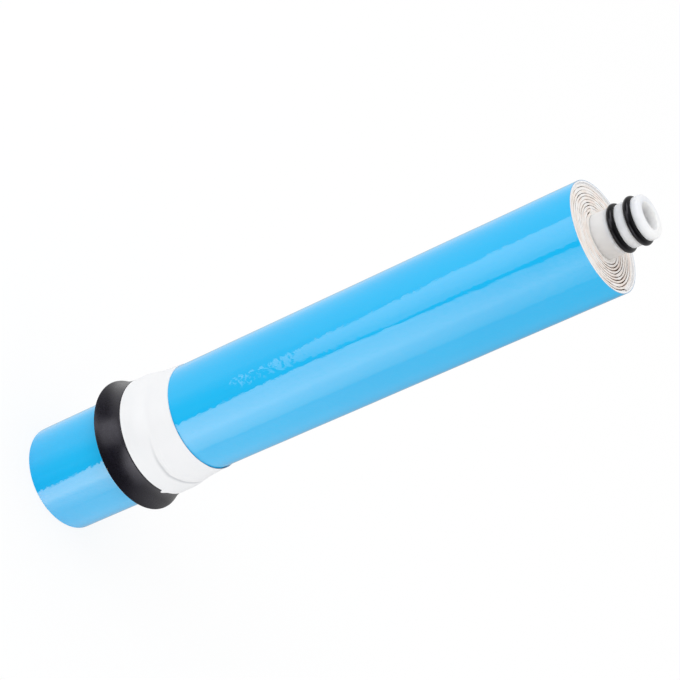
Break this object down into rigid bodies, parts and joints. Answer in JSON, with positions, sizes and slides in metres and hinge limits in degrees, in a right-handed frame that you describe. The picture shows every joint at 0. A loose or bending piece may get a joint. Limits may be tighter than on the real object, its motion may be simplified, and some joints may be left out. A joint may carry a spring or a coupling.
{
  "type": "ro membrane element",
  "caption": "Spiral-wound water filter roll in blue film, with a flared rubber brine seal near one end and an O-ring tube spigot at the other.",
  "frame": {"origin": "on the element's axis, level with the feed end that it stands on", "axes": "+Z along the axis from the feed end to the permeate spigot; X and Y across, with no preferred direction"},
  "size_m": [0.0548, 0.0548, 0.28],
  "materials": {
    "white_plastic": "satin",
    "ring_rubber": "satin",
    "carrier_cloth": "matte",
    "membrane": "matte",
    "netting": "matte",
    "white_tape": "satin",
    "blue_film": "gloss",
    "seal_rubber": "satin"
  },
  "bodies": {
    "root": {"permeate_tube": "white_plastic", "o_ring_inner": "ring_rubber", "o_ring_outer": "ring_rubber", "permeate_carrier": "carrier_cloth", "membrane_leaf": "membrane", "feed_spacer": "netting", "binding_tape": "white_tape", "body_wrap": "blue_film", "brine_seal": "seal_rubber", "seal_tape": "white_tape"}
  },
  "joints": []
}
